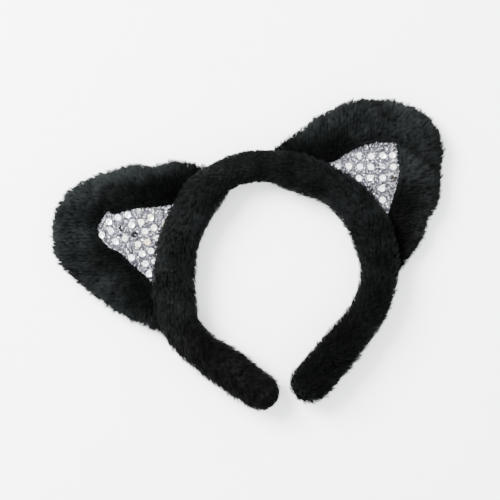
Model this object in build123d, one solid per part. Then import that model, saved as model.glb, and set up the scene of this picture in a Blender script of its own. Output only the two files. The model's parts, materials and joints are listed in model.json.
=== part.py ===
from build123d import *
import os
from math import cos, radians, sin

# Animal ears headband, lying on its back: a padded plush horseshoe band with two plush ears.
# All lengths are in millimetres and all angles in degrees.
# +Z points up, away from the surface that it lies on, and the fronts of the ears face +Z.
# +Y points from the open ends of the band to its crown, +X to the viewer's right.

# Route of the band's middle line, from the crown point: (radius, turn) of each tangent arc.
CROWN_LEFT_ARC = (46.5, 33)
CROWN_RIGHT_ARC = (87, 3)
LEFT_ARCS = [(46.5, 26), (106, 31), (49, 54)]
RIGHT_ARCS = [(87, 32), (60, 55), (52.5, 40)]
LEFT_RUN = 45
RIGHT_RUN = 49

# Section of the band, from the inside out.
STRIP_THICKNESS = 1.6
STRIP_WIDTH = 11
STRIP_END_BACK = 3
PADDING_RADIUS = 8.7
SLEEVE_INNER_RADIUS = 8.8
SLEEVE_RADIUS = 12
BAND_HEIGHT = SLEEVE_RADIUS
POCKET_PLAY = 0.1

# The arms spring open at two places in the crown.
FLEX_GAP = 0.3
FLEX_RELIEF = 13

# Ears, in their own plane: base corners on the band's outer edge, a round tip and bowed sides.
EAR_HALF_WIDTH = 53.5
EAR_LENGTH = 79.5
EAR_TIP_RADIUS = 33
EAR_TIP_HALF_TURN = 50
EAR_SIDE_TURN = 17.4
EAR_BACK_Z = 2
EAR_FRONT_Z = 13.5
EAR_SEAM_Z = 7.75
EAR_SEAM_GAP = 0.6
EAR_EDGE_ROUNDING = 4
EAR_CLEARANCE = 0.5
FILLING_INSET = 3.5
FILLING_LOW_Z = 4.8
FILLING_HIGH_Z = 9.6
FILLING_ROUNDING = 1.5
# Each ear: base middle measured from the crown point, and the direction that its tip points in.
EARS = {"left": ((-52, -52), 165), "right": ((49.5, -26.5), 45)}

# Silver triangle on the front of each ear.
TRIANGLE_HALF_WIDTH = 30
TRIANGLE_LENGTH = 53.5
TRIANGLE_TIP_RADIUS = 8
TRIANGLE_APEX_RISE = 6
TRIANGLE_BOW = 3.5
TRIANGLE_Z = 10.5
TRIANGLE_THICKNESS = 0.8
TRIANGLE_POCKET_MARGIN = 1.5

# Sequins, set out on a square net that is turned in the ear's plane.
SEQUIN_RADIUS = 2.1
SEQUIN_HOLE_RADIUS = 0.35
SEQUIN_THICKNESS = 0.3
SEQUIN_PITCH = 6.8
SEQUIN_NET_TURN = {"left": 34, "right": 45}
SEQUIN_EDGE_MARGIN = 2.3

# Stitches are short bars of thread.
THREAD = 0.5
SEAM_STITCH = 2.2
SEAM_STITCH_PITCH = 3.6
EDGE_SEAM_INSET = 1.2
TOP_STITCH = 2
TOP_STITCH_INSET = 0.5
TOP_STITCH_PITCH = 3.2
BASE_STITCH = 2.6
BASE_STITCH_PITCH = 5
BASE_STITCH_OFFSET = 15.4
SLEEVE_STITCH = 2.4
SLEEVE_STITCH_PITCH = 5
SLEEVE_SEAM_ANGLE = 25
END_STITCHES = 8
SEQUIN_THREAD = 0.25
CLEAR_OF_SLEEVE = 3
SEAM_END_MARGIN = 1

HEIGHT_TOLERANCE = 0.01
UP = Vector(0, 0, 1)
CROWN_POINT = Vector(0, 0, BAND_HEIGHT)


def direction(angle):
    return Vector(cos(radians(angle)), sin(radians(angle)), 0)


def walk(start, heading, side, arcs, run=0):
    """Tangent arcs, then a straight run; side is 1 for left turns and -1 for right turns."""
    edges = []
    point = start
    for radius, turn in arcs:
        centre = point + direction(heading + 90 * side) * radius
        middle = centre - direction(heading + (90 + turn / 2) * side) * radius
        finish = centre - direction(heading + (90 + turn) * side) * radius
        edges.append(ThreePointArc(point, middle, finish))
        point = finish
        heading = heading + turn * side
    if run:
        finish = point + direction(heading) * run
        edges.append(Line(point, finish))
        point = finish
    return Wire(edges), point, heading


def tube(line, radius):
    """A round bar along a line."""
    section = Plane(origin=line @ 0, z_dir=line % 0) * Circle(radius)
    return sweep(section, path=line)


def bar(centre, along, length, thickness=THREAD, upward=UP):
    """A short straight piece of thread."""
    place = Plane(origin=centre, x_dir=along, z_dir=upward)
    return place * Box(length, thickness, thickness)


def evenly(line, pitch, margin=0):
    """Points and directions at an even pitch along a line."""
    count = int((line.length - 2 * margin) / pitch)
    shares = [(margin + pitch * (i + 0.5)) / line.length for i in range(count)]
    return [(line @ share, line % share) for share in shares]


class Arm:
    """One arm of the band, from the place where it flexes to its round end; turn_side is as in walk."""

    def __init__(self, heading, turn_side, crown_arc, arcs, run):
        self.turn_side = turn_side
        self.crown_line, self.flex, self.heading = walk(CROWN_POINT, heading, turn_side, [crown_arc])
        self.line, self.end, self.end_heading = walk(self.flex, self.heading, turn_side, arcs, run)
        strip_run = run - STRIP_END_BACK
        self.strip_line = walk(self.flex, self.heading, turn_side, arcs, strip_run)[0]


ARMS = {
    "left": Arm(180, 1, CROWN_LEFT_ARC, LEFT_ARCS, LEFT_RUN),
    "right": Arm(0, -1, CROWN_RIGHT_ARC, RIGHT_ARCS, RIGHT_RUN),
}


def flex_slot(arm):
    """The thin gap between crown and arm at the place where the arm flexes."""
    reach = 4 * SLEEVE_RADIUS
    return Plane(origin=arm.flex, x_dir=direction(arm.heading), z_dir=UP) * Box(FLEX_GAP, reach, reach)


def flex_wedge(arm):
    """The space outside the strip that the arm needs when it springs open."""
    reach = 2 * SLEEVE_RADIUS
    square = direction(arm.heading - 90 * arm.turn_side)
    swung = direction(arm.heading - (90 - FLEX_RELIEF) * arm.turn_side)
    wedge = Polyline(arm.flex, arm.flex + square * reach, arm.flex + swung * reach, close=True)
    return extrude(make_face(wedge), amount=reach, dir=UP, both=True)


def band_section(line, strip_line, ends):
    """Strip, padding and sleeve of one stretch; ends are the middles of its closed round ends."""
    flat = Plane(origin=strip_line @ 0, x_dir=UP, z_dir=strip_line % 0)
    play = 2 * POCKET_PLAY
    strip = sweep(flat * Rectangle(STRIP_WIDTH, STRIP_THICKNESS), path=strip_line)
    pocket = sweep(flat * Rectangle(STRIP_WIDTH + play, STRIP_THICKNESS + play), path=strip_line)
    padding = tube(line, PADDING_RADIUS)
    inside = tube(line, SLEEVE_INNER_RADIUS)
    outside = tube(line, SLEEVE_RADIUS)
    for end in ends:
        padding += Pos(end) * Sphere(PADDING_RADIUS)
        inside += Pos(end) * Sphere(SLEEVE_INNER_RADIUS)
        outside += Pos(end) * Sphere(SLEEVE_RADIUS)
    return strip, padding - pocket, outside - inside


def sleeve_seam(line, side, margin):
    """Ladder stitches of the sleeve's closing seam, low on the side that meets the head."""
    stitches = []
    for point, along in evenly(line, SLEEVE_STITCH_PITCH, margin):
        inward = UP.cross(along) * side
        outward = inward * cos(radians(SLEEVE_SEAM_ANGLE)) - UP * sin(radians(SLEEVE_SEAM_ANGLE))
        across = along.cross(outward)
        centre = point + outward * (SLEEVE_RADIUS + POCKET_PLAY + THREAD / 2)
        stitches.append(bar(centre, across, SLEEVE_STITCH, upward=outward))
    return stitches


def end_stitches(end, heading):
    """A star of stitches that gathers the sleeve at its round end."""
    ahead = direction(heading)
    centre = end + ahead * (SLEEVE_RADIUS + THREAD / 2)
    flat = Plane(origin=centre, x_dir=UP, z_dir=ahead)
    star = []
    for i in range(END_STITCHES):
        spoke = flat * Rot(0, 0, i * 360 / END_STITCHES) * Pos(SLEEVE_STITCH, 0, 0)
        star.append(spoke * Box(SLEEVE_STITCH, THREAD, THREAD))
    return star


def ear_plane(side):
    """The ear's own plane: x along its base, y towards its tip, z out of its front."""
    (x, y), angle = EARS[side]
    return Plane(origin=(x, y, 0), x_dir=direction(angle - 90), z_dir=UP)


def ear_outline():
    """A round tip arc with a bowed arc down each side to the base corners."""
    tip_centre = EAR_LENGTH - EAR_TIP_RADIUS
    shoulder_x = EAR_TIP_RADIUS * sin(radians(EAR_TIP_HALF_TURN))
    shoulder_y = tip_centre + EAR_TIP_RADIUS * cos(radians(EAR_TIP_HALF_TURN))
    corner = Vector(EAR_HALF_WIDTH, 0)
    shoulder = Vector(shoulder_x, shoulder_y)
    chord = corner - shoulder
    bow = chord.length / 2 * sin(radians(EAR_SIDE_TURN / 2)) / cos(radians(EAR_SIDE_TURN / 2))
    outward = Vector(-chord.Y, chord.X).normalized()
    side_middle = (corner + shoulder) / 2 + outward * bow
    mirrored = [Vector(-p.X, p.Y) for p in (shoulder, side_middle, corner)]
    edges = [
        ThreePointArc(corner, side_middle, shoulder),
        ThreePointArc(shoulder, Vector(0, EAR_LENGTH), mirrored[0]),
        ThreePointArc(mirrored[0], mirrored[1], mirrored[2]),
        Line(mirrored[2], corner),
    ]
    return make_face(edges)


def triangle_outline():
    """An isosceles triangle with slightly bowed sides and a rounded tip."""
    corner = Vector(TRIANGLE_HALF_WIDTH, 0)
    apex = Vector(0, TRIANGLE_LENGTH + TRIANGLE_APEX_RISE)
    chord = corner - apex
    middle = (corner + apex) / 2 + Vector(-chord.Y, chord.X).normalized() * TRIANGLE_BOW
    edges = [
        ThreePointArc(corner, middle, apex),
        ThreePointArc(apex, Vector(-middle.X, middle.Y), Vector(-corner.X, corner.Y)),
        Line(Vector(-corner.X, corner.Y), corner),
    ]
    face = make_face(edges)
    tip = face.vertices().sort_by(Axis.Y)[-1]
    return fillet(tip, TRIANGLE_TIP_RADIUS)


def slab(face, low, high):
    return Pos(0, 0, low) * extrude(face, amount=high - low)


def ear_shell(outline, low, high, rounded_z):
    """A slab of plush whose outer edge is rounded over at one height."""
    block = slab(outline, low, high)
    lowest = rounded_z - HEIGHT_TOLERANCE
    rim = block.edges().filter_by_position(Axis.Z, lowest, rounded_z + HEIGHT_TOLERANCE)
    return fillet(rim, EAR_EDGE_ROUNDING)


def ear_solids(cutter):
    """Back panel, filling, front panel and triangle of one ear, trimmed clear of the band."""
    outline = ear_outline()
    triangle_face = triangle_outline()
    stuffed = offset(outline, -FILLING_INSET)
    filling = slab(stuffed, FILLING_LOW_Z, FILLING_HIGH_Z)
    flat_rims = filling.edges().filter_by(GeomType.LINE, reverse=True).group_by(Axis.Z)
    filling = fillet(flat_rims[0] + flat_rims[-1], FILLING_ROUNDING)
    pocket_face = offset(triangle_face, TRIANGLE_POCKET_MARGIN)
    pocket = slab(pocket_face, TRIANGLE_Z, EAR_FRONT_Z + TRIANGLE_POCKET_MARGIN)
    half_gap = EAR_SEAM_GAP / 2
    back = ear_shell(outline, EAR_BACK_Z, EAR_SEAM_Z - half_gap, EAR_BACK_Z) - filling
    front = ear_shell(outline, EAR_SEAM_Z + half_gap, EAR_FRONT_Z, EAR_FRONT_Z) - filling - pocket
    triangle = slab(triangle_face, TRIANGLE_Z, TRIANGLE_Z + TRIANGLE_THICKNESS)
    return [piece - cutter for piece in (back, filling, front, triangle)]


def clear_of_band(plane, point, band):
    """True where a stitch or sequin would not touch the sleeve."""
    distance = band.distance_to(Vertex(plane.from_local_coords(point)))
    return distance > SLEEVE_RADIUS + CLEAR_OF_SLEEVE


def seam_around(face, inset, z, stitch, pitch, plane, band, sequins=()):
    """Stitches along the inside of an outline, left out where the band or a sequin covers it."""
    rim = offset(face, -inset).faces()[0].outer_wire()
    sequin_reach = SEQUIN_RADIUS + stitch / 2 + THREAD
    stitches = []
    for point, along in evenly(rim, pitch):
        above = Vector(point.X, point.Y, BAND_HEIGHT)
        covered = any((point - place).length < sequin_reach for place in sequins)
        on_base = point.Y < inset + SEAM_END_MARGIN
        if not covered and not on_base and clear_of_band(plane, above, band):
            stitches.append(bar(Vector(point.X, point.Y, z), along, stitch))
    return stitches


def sequin_places(side, plane, band):
    """Points of the sequin net that lie inside the triangle and clear of the band."""
    inside = offset(triangle_outline(), -SEQUIN_EDGE_MARGIN).faces()[0]
    reach = int(TRIANGLE_LENGTH / SEQUIN_PITCH) + 1
    middle = Vector(0, TRIANGLE_LENGTH / 2)
    places = []
    for row in range(-reach, reach + 1):
        for column in range(-reach, reach + 1):
            step = Vector(column, row) * SEQUIN_PITCH
            point = middle + step.rotate(Axis.Z, SEQUIN_NET_TURN[side])
            above = Vector(point.X, point.Y, BAND_HEIGHT)
            if inside.is_inside(point) and clear_of_band(plane, above, band):
                places.append(point)
    return places


def base_stitches(plane, band, side):
    """Hand stitches across the join of ear and sleeve, on the ear's front and back."""
    outline = offset(ear_outline(), -EAR_EDGE_ROUNDING).faces()[0]
    pocket = offset(triangle_outline(), TRIANGLE_POCKET_MARGIN + THREAD).faces()[0]
    stitches = []
    for point, along in evenly(band, BASE_STITCH_PITCH):
        outward = along.cross(UP) * side
        centre = plane.to_local_coords(point + outward * BASE_STITCH_OFFSET)
        across = plane.to_local_coords(point + outward) - plane.to_local_coords(point)
        spot = Vector(centre.X, centre.Y)
        if not outline.is_inside(spot):
            continue
        stitches.append(bar(Vector(centre.X, centre.Y, EAR_BACK_Z - THREAD / 2), across, BASE_STITCH))
        if not pocket.is_inside(spot):
            stitches.append(bar(Vector(centre.X, centre.Y, EAR_FRONT_Z + THREAD / 2), across, BASE_STITCH))
    return stitches


def make_ear(side):
    """All pieces of one ear, as {name: shape}."""
    plane = ear_plane(side)
    line = ARMS[side].line
    cutter = plane.location.inverse() * tube(line, SLEEVE_RADIUS + EAR_CLEARANCE)
    back, filling, front, triangle = ear_solids(cutter)
    top = TRIANGLE_Z + TRIANGLE_THICKNESS
    sequins = []
    threads = []
    places = sequin_places(side, plane, line)
    for place in places:
        disc = Cylinder(SEQUIN_RADIUS, SEQUIN_THICKNESS) - Cylinder(SEQUIN_HOLE_RADIUS, SEQUIN_THICKNESS)
        sequins.append(Pos(place.X, place.Y, top + SEQUIN_THICKNESS / 2) * disc)
        thread_z = top + SEQUIN_THICKNESS + SEQUIN_THREAD / 2
        thread = Box(SEQUIN_RADIUS + SEQUIN_HOLE_RADIUS, SEQUIN_THREAD, SEQUIN_THREAD)
        threads.append(Pos(place.X + SEQUIN_RADIUS / 2, place.Y, thread_z) * thread)
    local = {
        "ear_back_panel": [back],
        "ear_filling": [filling],
        "ear_front_panel": [front],
        "ear_edge_seam": seam_around(
            ear_outline(), EDGE_SEAM_INSET, EAR_SEAM_Z, SEAM_STITCH, SEAM_STITCH_PITCH, plane, line
        ),
        "silver_triangle": [triangle],
        "triangle_stitches": seam_around(
            triangle_outline(), TOP_STITCH_INSET, top + THREAD / 2, TOP_STITCH, TOP_STITCH_PITCH,
            plane, line, places,
        ),
        "sequins": sequins,
        "sequin_threads": threads,
        "ear_base_stitches": base_stitches(plane, line, ARMS[side].turn_side),
    }
    return {f"{side}_{name}": [plane.location * piece for piece in pieces] for name, pieces in local.items()}


def make_arm(side):
    """All pieces of one arm of the band, as {name: shape}."""
    arm = ARMS[side]
    strip, padding, sleeve = band_section(arm.line, arm.strip_line, [arm.end])
    slot = flex_slot(arm)
    gap = slot + flex_wedge(arm)
    return {
        f"{side}_strip": [strip - slot],
        f"{side}_padding": [padding - gap],
        f"{side}_sleeve": [sleeve - gap],
        f"{side}_sleeve_seam": sleeve_seam(arm.line, arm.turn_side, SLEEVE_STITCH_PITCH),
        f"{side}_end_stitches": end_stitches(arm.end, arm.end_heading),
    }


def make_crown():
    """All pieces of the crown, between the two places where the arms flex."""
    left = ARMS["left"]
    right = ARMS["right"]
    line = Wire([
        ThreePointArc(left.flex, left.crown_line @ 0.5, CROWN_POINT),
        ThreePointArc(CROWN_POINT, right.crown_line @ 0.5, right.flex),
    ])
    strip, padding, sleeve = band_section(line, line, [])
    slots = flex_slot(left) + flex_slot(right)
    return {
        "crown_strip": [strip - slots],
        "crown_padding": [padding - slots],
        "crown_sleeve": [sleeve - slots],
        "crown_sleeve_seam": sleeve_seam(line, -1, SLEEVE_STITCH_PITCH / 2),
    }


def build_all():
    """Every node, moved so that the middle of the whole box's underside is the origin."""
    nodes = make_crown()
    for side in ("left", "right"):
        nodes.update(make_arm(side))
        nodes.update(make_ear(side))
    shapes = {}
    for name, pieces in nodes.items():
        shapes[name] = Compound([solid for piece in pieces for solid in piece.solids()])
    box = Compound(list(shapes.values())).bounding_box()
    shift = Pos(-box.center().X, -box.center().Y, -box.min.Z)
    return {name: shift * shape for name, shape in shapes.items()}


if __name__ == "__main__":
    os.makedirs("parts", exist_ok=True)
    for node_name, node_shape in build_all().items():
        export_step(node_shape, f"parts/{node_name}.step")
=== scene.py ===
import bpy
import json
import math
import numpy as np
from itertools import product
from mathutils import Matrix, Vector


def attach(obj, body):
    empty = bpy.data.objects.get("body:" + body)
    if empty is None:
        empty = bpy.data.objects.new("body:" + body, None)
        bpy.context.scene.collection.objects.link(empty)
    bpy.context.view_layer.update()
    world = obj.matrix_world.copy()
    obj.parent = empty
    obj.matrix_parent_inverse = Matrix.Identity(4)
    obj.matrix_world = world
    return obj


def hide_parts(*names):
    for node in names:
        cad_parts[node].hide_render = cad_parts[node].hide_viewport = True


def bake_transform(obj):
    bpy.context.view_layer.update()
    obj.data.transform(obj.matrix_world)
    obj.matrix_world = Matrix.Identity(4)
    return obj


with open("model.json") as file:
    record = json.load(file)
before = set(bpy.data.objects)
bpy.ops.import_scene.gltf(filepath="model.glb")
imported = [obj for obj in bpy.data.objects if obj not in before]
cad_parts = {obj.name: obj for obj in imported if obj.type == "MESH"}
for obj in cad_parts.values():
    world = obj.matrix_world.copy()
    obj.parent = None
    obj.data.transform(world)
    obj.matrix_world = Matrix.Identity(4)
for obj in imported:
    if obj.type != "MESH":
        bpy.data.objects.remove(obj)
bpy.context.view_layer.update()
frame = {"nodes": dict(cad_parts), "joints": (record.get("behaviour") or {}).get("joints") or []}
JOINTS = {joint["name"]: joint for joint in frame["joints"]}

# Lengths in this script are in millimetres until a mesh is made.
MM = 0.001
SIDES = ("left", "right")
UP = np.array([0.0, 0.0, 1.0])

# ---- sizes of the band

# Its middle line: tangent arcs (radius, turn) from the crown point, then a straight run.
ARCS = {
    "left": [(46.5, 59), (106, 31), (49, 54)],
    "right": [(87, 35), (60, 55), (52.5, 40)],
}
RUNS = {"left": 45, "right": 49}
TURN_SIDE = {"left": 1, "right": -1}
START_HEADING = {"left": 180, "right": 0}
FLEX_TURN = {"left": 33, "right": 3}
BAND_Z = 12

# The plush tube, pile included: (distance from the crown point, outer half width, inner half width).
TUBE_WIDTHS = {
    "left": [
        (0, 9.7, 9.7), (10, 8.9, 11.2), (24, 10.0, 10.6), (38, 12.2, 14.1), (54, 12.0, 13.9),
        (64, 12.1, 12.6), (80, 13.2, 12.7), (96, 12.4, 14.0), (115, 12.7, 14.9), (126, 12.9, 12.6),
        (136, 12.7, 9.5), (148, 12.3, 9.4), (168, 13.3, 13.7), (186, 12.1, 12.2), (204, 10.0, 12.2),
    ],
    "right": [
        (0, 9.7, 9.5), (8, 10.5, 10.0), (16, 11.0, 12.6), (30, 11.3, 13.7), (48, 12.0, 11.6),
        (70, 13.0, 13.5), (80, 13.1, 13.3), (94, 12.4, 14.5), (110, 12.0, 11.9), (130, 10.7, 12.1),
        (150, 12.2, 10.9), (168, 13.3, 11.8), (188, 13.7, 12.2), (204, 12.6, 13.4),
    ],
}
TUBE_HEIGHT = 11.6
# The plush itself is this much slimmer than the tube with its pile, but always covers the padding.
PILE_REACH = 1.9
LEAST_TUBE = 9.0
# Both halves of the sleeve cover the crown point; the pile stops sooner.
CROWN_OVERLAP = 6
PILE_OVERLAP = 1.5
RING_STEP = 1.2
RING_POINTS = 72
END_RINGS = 14
SLEEVE_NODES = {"left": ("left_sleeve", "crown_sleeve"), "right": ("right_sleeve",)}
# Lumps in the padding: (rise, size, seed).
BAND_LUMPS = ((0.45, 11, 5), (0.30, 5, 6))

# ---- sizes of the ears

# In an ear's own plane, u runs along the base and v towards the tip, both from the base's middle.
EAR_FOLD_V = {"left": 12.8, "right": 21.6}
EAR_HALF_WIDTH = 53.5
EAR_LENGTH = 79.5
EAR_TIP_RADIUS = 33
EAR_TIP_HALF_TURN = 50
EAR_SIDE_HALF_TURN = 17.4
EAR_SEAM_Z = 7.75
EAR_CENTRE_V = {"left": 45, "right": 50}
# The base's corners run on under the band as far as this foot.
EAR_FOOT = (54.5, -30)
EAR_SPOKES = 300
EAR_RINGS = 46
EAR_CROWDING = 1.6
# The ear's edge lies this deep under the band's plush.
EAR_TUCK = 2.5
# How far before and behind the fold line an ear bends.
LOBE_RISE = 5.4
LOBE_ROUNDING = 11
BACK_RISE = 4.3
# Lumps in the front and back: (rise, size, seed), and where in the noise each surface is read.
FRONT_LUMPS = ((0.55, 17, 21),)
FRONT_LUMP_PLACE = {"left": 7.0, "right": 37.0}
BACK_LUMPS = ((0.3, 15, 23),)
BACK_LUMP_PLACE = 70.0
# Under the band's edge the front sinks to this share of its rise, which it regains over this reach.
BAND_DIP_SHARE = 0.12
BAND_DIP_REACH = 24
WADDING_SHARE = 0.95
WADDING_RISE = 0.8
# Uneven sewing of the rim: (side, v of the middle, spread, how far it bulges).
RIM_BULGES = {
    "left": [(1, 16, 14, 0.4), (1, 27, 7, -2.8), (-1, 68, 14, 3.0), (-1, 12, 20, -1.6)],
    "right": [
        (-1, 53, 17, 5.4), (-1, 30, 8, 1.6), (1, 28, 22, 1.2), (1, 33, 6, -1.8), (1, 47, 6, 1.2),
        (1, 65, 7, -1.6),
    ],
}
RIM_INSET = 0.95
# Soft folds from the rim inwards: both ends of each.
FOLDS = {
    "left": [((30, 66), (18, 58)), ((-38, 30), (-27, 27))],
    "right": [((-34, 60), (-15, 61)), ((8, 56), (29, 59))],
}
FOLD_DEPTH = 1.1
FOLD_WIDTH = 2.4

# ---- painted light and shade in the pile's tone, and the nap

# Painted light and shade on the band's plush, paler along the middle of each half and darker towards the
# ends: distances along the band, and the shade at each.
BAND_PAINTED_LIGHT_AND_SHADE = {
    "left": ([0, 30, 80, 120, 150, 200], [-0.04, 0.03, 0.12, -0.04, -0.34, -0.36]),
    "right": ([0, 40, 90, 130, 200], [-0.04, 0.10, 0.15, -0.22, -0.38]),
}
# Each ear's own shade, and the painted shade that darkens its side away from the crown.
EAR_SHADE = {"left": 0.15, "right": 0.10}
FAR_SIDE_PAINTED_SHADE = {"left": 0.0, "right": -0.20}
FAR_SIDE_REACH = 25
# Where the dark stretch beside each triangle ends towards the tip, and how wide it is: partly the nap,
# partly painted shade of the furrow.
FURROW_END_V = {"left": 54, "right": 36}
FURROW_WIDTH = 12
# Painted light that pales the ear's plush towards the rim.
RIM_PAINTED_LIGHT = 0.21
# Darkening beside the triangle, partly the nap and partly painted shade of the furrow.
FURROW_NAP_AND_PAINTED_SHADE = -0.11
# Painted shade where the ear runs in under the band, and its reach.
BAND_SIDE_PAINTED_SHADE = -0.22
BAND_SIDE_REACH = 20
# Painted shade in the ear's soft folds.
FOLD_PAINTED_SHADE = -0.20
# The borders of these shades wander: (distance, size, seed).
SHADE_WANDER = ((2.5, 9, 31),)

# ---- the pile

BAND_PILE = 2.4
LEAST_BAND_PILE = 1.1
EAR_PILE = 2.5
# Strands on each square millimetre.
PILE_DENSITY = 6.0
STRAND_WIDTH = 0.25
STRAND_TAPER = 0.85
STRAND_BOW = 0.16
STRAND_TWIST = 0.9
BAND_SEEDS = {"left": 11, "right": 12}
EAR_SEEDS = {"left": 21, "right": 22}
# On the ears the nap runs away from this place, in the ear's plane.
NAP_CENTRE = (0, 12)
# How far the pile goes on under the band and under the net.
PILE_TUCK = 1.2
NET_TUCK = 0.4
FLOOR_GAP = 0.15
# Degrees that strands lean from the surface's normal: the mean, then how it varies.
LEAN = 50
LEAN_WIDE = 10
LEAN_FINE = 6
LEAN_SCATTER = 9
# How the direction of the nap varies.
LAY_SWIRL = 0.35
LAY_SCATTER = 0.22
# Numbers that tell the noise's lattice points and the tufts' cells apart.
NOISE_VALUES = 4096
NOISE_KEYS = np.array([73856093, 19349663, 83492791])
CELL_KEYS = np.array([1, 4096, 4096 * 4096])
# Sizes of the patches in which strands vary together.
WIDE_CELL = 14
FINE_CELL = 4
SWIRL_CELL = 9
WARP_CELL = 2.1
WARP = 0.9
# Tufts: their size, how far strands gather in them and how far the tufts stray.
CLUMP_CELL = 2.0
CLUMP_PULL = 0.5
CLUMP_STRAY = 0.36
# How strands' lengths vary, as shares of the mean.
REACH_TUFT = 0.22
REACH_FINE = 0.10
REACH_SCATTER = 0.10
# How their tones vary, round the middle one.
TONE_MIDDLE = 0.53
TONE_WIDE = 0.13
TONE_FINE = 0.09
TONE_TUFT = 0.05
TONE_SCATTER = 0.06

# ---- the silver triangles

# Corners and shape points of each, in the ear's plane.
TRIANGLES = {
    "left": [
        (31, -2), (26.8, 8.2), (22.5, 17.5), (18.5, 29.5), (14.1, 38), (10.2, 43.6), (12.2, 48.2),
        (5, 50.8), (-0.4, 51.9), (-5, 49.6), (-11, 41), (-11.4, 33.7), (-15, 28.1), (-17.6, 22.9),
        (-21.5, 15.3), (-25, 9.2), (-28, -2),
    ],
    "right": [
        (33, 4), (25.2, 19), (17.8, 32.9), (11.3, 42.5), (4.6, 48.2), (-3.6, 54.9), (-7, 51.6),
        (-12.5, 45.4), (-16.2, 40), (-18.7, 33.3), (-20.9, 26.6), (-21.6, 21.1), (-23.4, 16.6), (-25, 0),
    ],
}
TRIANGLE_RISE = 3.2
# Under the band's edge the triangle sinks to this share of its rise.
TRIANGLE_DIP_SHARE = 0.3
# How far its middle swells, and over which distance from its edge.
TRIANGLE_CROWN = 0.5
TRIANGLE_CROWN_REACH = 9
# Its sewn edge: a groove just outside, and the climb from there up to the plush.
HEM_OFFSET = 0.6
HEM_CLIMB = 6.5
HEM_GROOVE = 0.7
HEM_GROOVE_WIDTH = 1.3
TRIANGLE_MIDDLE = {"left": (0, 26), "right": (0, 34)}
NET_LIFT = 0.45
NET_SPOKES = 360
NET_RINGS = 30
EDGE_RAGGEDNESS = 0.35
EDGE_TRIM = 0.2

# Flecks of metal yarn: how many on each square millimetre, and their half sizes.
FLECK_DENSITY = 11.0
FLECK_HALF_LENGTH = 0.25
FLECK_HALF_WIDTH = 0.13
FLECK_TILT = 0.5
FLECK_LIFTS = (0.12, 0.37)

FRAY_COUNT = 420
FRAY_LENGTHS = (0.4, 1.7)
FRAY_HALF_WIDTH = 0.09
FRAY_LIFTS = (0.5, 1.3)
FRAY_STRAY = 0.2
FRAY_SCATTER = 0.7

SEQUIN_RADIUS = 1.85
SEQUIN_HOLE = 0.4
SEQUIN_PITCH = {"left": 6.55, "right": 7.0}
SEQUIN_NET_TURN = {"left": 34, "right": 45}
SEQUIN_START = {"left": (-2.1, 33.5), "right": (-3.8, 33.1)}
SEQUIN_NET_REACH = 7
SEQUIN_STRAY = 0.3
SEQUIN_EDGE_GAP = 1.5
SEQUIN_LIFT = 0.55
SEQUIN_LEAN = 0.10
LOOSE_SEQUIN_LEAN = 0.22
LOOSE_SEQUINS = 0.22
LOST_SEQUINS = 0.08
SEQUIN_RING = 24
# A sequin's section, from its hole out and back: (share of the radius, rise); share 0 is the hole.
SEQUIN_SECTION = (
    (0, -0.05), (0, 0.03), (0.6, 0.05), (0.95, 0.10), (1, 0.14), (1, 0.06), (0.95, 0.02), (0.6, -0.03),
    (0, -0.05),
)

# Stitches: (the thread's slot, length, thickness, how far it bows up).
SEAM_STITCH = ("black_thread", 3.2, 0.5, 0.35)
BASE_STITCH = ("black_thread", 3.4, 0.5, 0.35)
EDGE_STITCH = ("black_thread", 2.4, 0.4, 0.3)
HEM_STITCH = ("silver_thread", 1.9, 0.22, 0.2)
SEQUIN_STITCH = ("silver_thread", 1.9, 0.16, 0.12)
# A stitch's ends dip by this share of its bow.
STITCH_DIP = 1.6
SEAM_PITCH = 4.2
BASE_PITCH = 4.4
EDGE_PITCH = 3.4
HEM_PITCH = 3.4
# Degrees that the sleeve's seam is turned towards the back.
SEAM_TILT = 25
GATHER_STITCHES = 8
GATHER_RADIUS = 2.4


def unit(vectors):
    return vectors / np.maximum(np.linalg.norm(vectors, axis=-1, keepdims=True), 1e-9)


def heading(angle):
    return np.array([math.cos(math.radians(angle)), math.sin(math.radians(angle))])


def rays(angles):
    return np.column_stack([np.cos(angles), np.sin(angles)])


def circle(count):
    """Evenly spaced angles round a circle."""
    return np.linspace(0, 2 * math.pi, count + 1)[:-1]


def smooth(value):
    value = np.clip(value, 0, 1)
    return value * value * (3 - 2 * value)


def hump(distance, width):
    """1 at no distance, falling away over the width."""
    return np.exp(-((distance / width) ** 2))


def with_z(flat, z=0.0):
    """Rows in a plane with a third value added."""
    return np.column_stack([flat, np.broadcast_to(z, len(flat))])


def blend_rows(at, distances, rows):
    """Rows at places between known distances."""
    return np.column_stack([np.interp(at, distances, rows[:, k]) for k in range(rows.shape[1])])


def distances_along(line):
    return np.concatenate([[0], np.cumsum(np.linalg.norm(np.diff(line, axis=0), axis=1))])


def soft_noise(points, cell, seed):
    """Smooth random values from -1 to 1, on a lattice of that cell size."""
    table = np.random.default_rng(seed).uniform(-1, 1, NOISE_VALUES)
    scaled = np.asarray(points, float) / cell
    base = np.floor(scaled).astype(np.int64)
    part = smooth(scaled - base)
    total = np.zeros(len(scaled))
    for corner in product((0, 1), repeat=3):
        corner = np.array(corner)
        key = (base + corner) @ NOISE_KEYS
        total += table[key % len(table)] * np.prod(np.where(corner, part, 1 - part), axis=1)
    return total


def lumps(points, kinds):
    """Soft noise of several kinds added up; each is (rise, size, seed)."""
    return sum(rise * soft_noise(points, cell, seed) for rise, cell, seed in kinds)


def noise_vectors(points, cell, seed):
    return np.column_stack([soft_noise(points, cell, seed + k) for k in range(3)])


# ---- the band's line


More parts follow.
